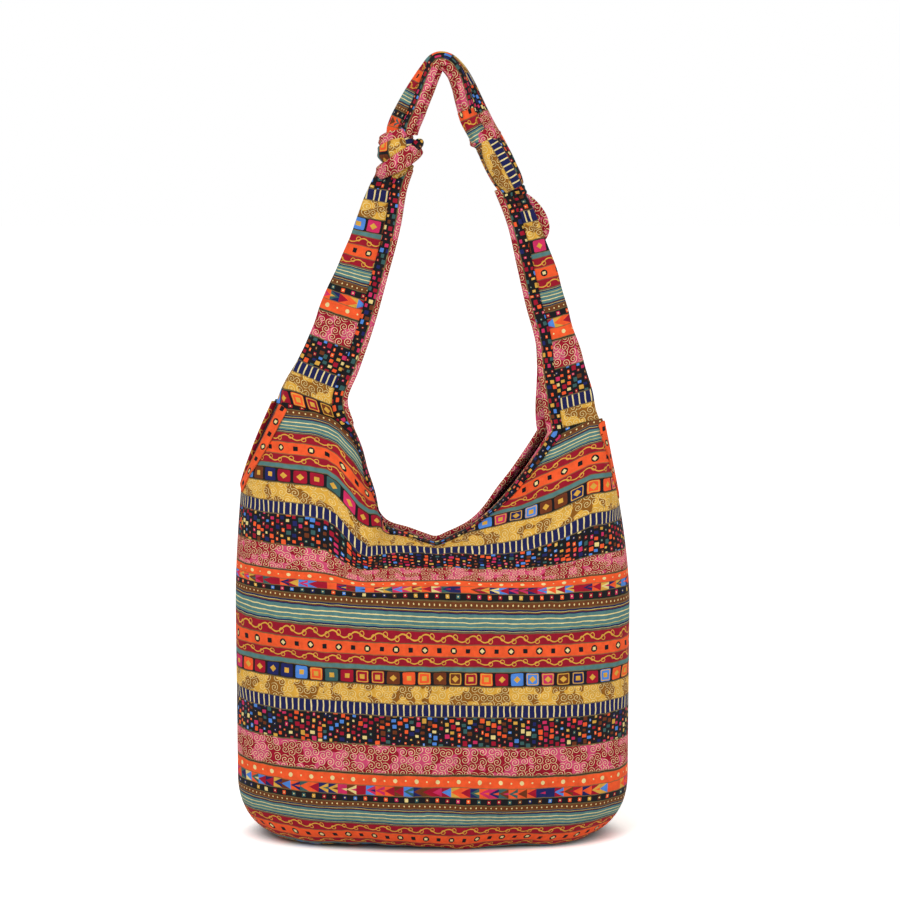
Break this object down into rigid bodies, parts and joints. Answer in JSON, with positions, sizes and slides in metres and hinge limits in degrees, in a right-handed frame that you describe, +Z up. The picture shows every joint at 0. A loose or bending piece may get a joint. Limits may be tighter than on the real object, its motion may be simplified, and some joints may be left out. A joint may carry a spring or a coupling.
{
  "type": "slouchy cloth shoulder bag",
  "caption": "Soft printed-cotton shoulder bag with boxed base corners, a bound scooped neckline, slanted side pockets and a strap tied in knots.",
  "frame": {"origin": "middle of the base, on the surface that the bag stands on", "axes": "+Z up the bag to the top of the strap, -Y out of the front panel, +X to the right as seen from the front"},
  "size_m": [0.3816, 0.1576, 0.7591],
  "materials": {
    "printed_cotton": "striped printed cotton, plain weave, slightly lustrous gold lines",
    "binding_cotton": "printed cotton cut along the stripe, rolled edge",
    "band_cotton": "printed cotton, folded band",
    "lining_cloth": "plain black lining cloth"
  },
  "bodies": {
    "root": {"front_panel": "printed_cotton", "back_panel": "printed_cotton", "lining": "lining_cloth", "left_strap": "printed_cotton", "right_strap": "printed_cotton", "front_binding": "binding_cotton", "back_binding": "binding_cotton", "left_pocket_band": "band_cotton", "right_pocket_band": "band_cotton", "left_pocket_pouch": "lining_cloth", "right_pocket_pouch": "lining_cloth"}
  },
  "joints": []
}
